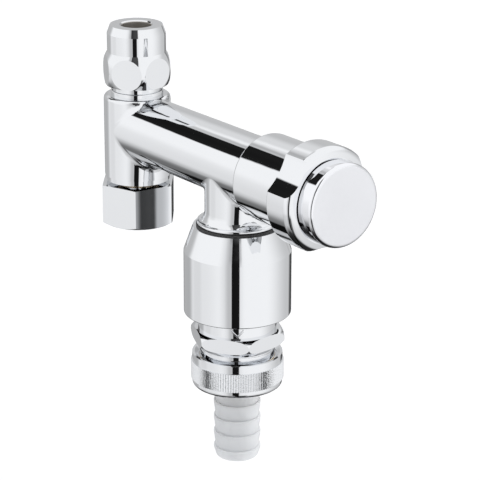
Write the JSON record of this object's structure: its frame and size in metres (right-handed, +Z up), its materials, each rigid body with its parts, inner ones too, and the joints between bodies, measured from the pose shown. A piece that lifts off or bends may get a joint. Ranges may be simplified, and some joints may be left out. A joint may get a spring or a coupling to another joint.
{
  "type": "washing machine tap",
  "caption": "Chromed washing machine tap: swivel inlet nut, through outlet for a supply pipe, side shut-off valve with a knob, backflow preventer and a barbed hose outlet.",
  "frame": {"origin": "column axis at the inlet's sealing plane, the underside of the inlet washer", "axes": "+Z up along the column; the arm and the knob point towards -Y, the front"},
  "size_m": [0.036, 0.1253, 0.14],
  "materials": {
    "chrome": "polished",
    "satin_cap": "satin metallised",
    "brass": "machined",
    "steel": "machined",
    "rubber": "matt",
    "fibre": "matt",
    "white_plastic": "moulded",
    "grey_plastic": "moulded"
  },
  "bodies": {
    "valve": {"valve_body": "chrome", "inlet_washer": "fibre", "inlet_tail": "brass", "head_part": "brass", "head_oring": "rubber", "hood_seal": "rubber", "vent_hood": "chrome", "spigot_oring": "rubber", "backflow_body": "chrome", "check_cartridge": "white_plastic", "vent_membrane": "rubber", "vent_cage": "grey_plastic"},
    "inlet_nut": {"inlet_union_nut": "chrome"},
    "olive": {"compression_olive": "brass"},
    "pipe_nut": {"compression_nut": "chrome"},
    "handwheel": {"knob": "chrome", "knob_screw": "steel", "knob_cap": "satin_cap", "spindle": "brass", "spindle_oring": "rubber", "spindle_clip": "steel"},
    "disc": {"disc_carrier": "brass", "seat_washer": "rubber"},
    "poppet": {"check_poppet": "grey_plastic", "poppet_seal": "rubber", "check_spring": "steel"},
    "tail": {"hose_tail": "white_plastic", "hose_washer": "rubber"},
    "hose_nut": {"hose_union_nut": "chrome"}
  },
  "joints": [
    {"name": "knob_turn", "type": "hinge", "parent": "valve", "child": "handwheel", "pos_m": [0, -0.0948, 0.025], "axis": [0, -1, 0], "range_deg": [0, 900]},
    {"name": "disc_lift", "type": "slide", "parent": "valve", "child": "disc", "axis": [0, -1, 0], "range_m": [0, 0.00374]},
    {"name": "inlet_nut_swivel", "type": "hinge", "parent": "valve", "child": "inlet_nut", "pos_m": [0, 0, 0], "axis": [0, 0, -1], "continuous": true},
    {"name": "olive_rise", "type": "slide", "parent": "valve", "child": "olive", "axis": [0, 0, 1], "range_m": [0, 0.01203]},
    {"name": "pipe_nut_turn", "type": "hinge", "parent": "olive", "child": "pipe_nut", "pos_m": [0, 0, 0.05], "axis": [0, 0, 1], "range_deg": [0, 3240]},
    {"name": "tail_drop", "type": "slide", "parent": "valve", "child": "tail", "axis": [0, 0, -1], "range_m": [0, 0.00906]},
    {"name": "hose_nut_turn", "type": "hinge", "parent": "tail", "child": "hose_nut", "pos_m": [0, -0.0576, -0.0465], "axis": [0, 0, -1], "range_deg": [0, 1800]},
    {"name": "check_open", "type": "slide", "parent": "valve", "child": "poppet", "axis": [0, 0, -1], "range_m": [0, 0.0033], "stiffness_N_per_m": 60, "springref_m": -0.002, "deforming": ["check_spring"]}
  ],
  "couplings": [
    {"joint": "knob_turn", "follows": "disc_lift", "rad_per_m": 4188.8},
    {"joint": "pipe_nut_turn", "follows": "olive_rise", "rad_per_m": 4699.5},
    {"joint": "hose_nut_turn", "follows": "tail_drop", "rad_per_m": 3463.7}
  ]
}
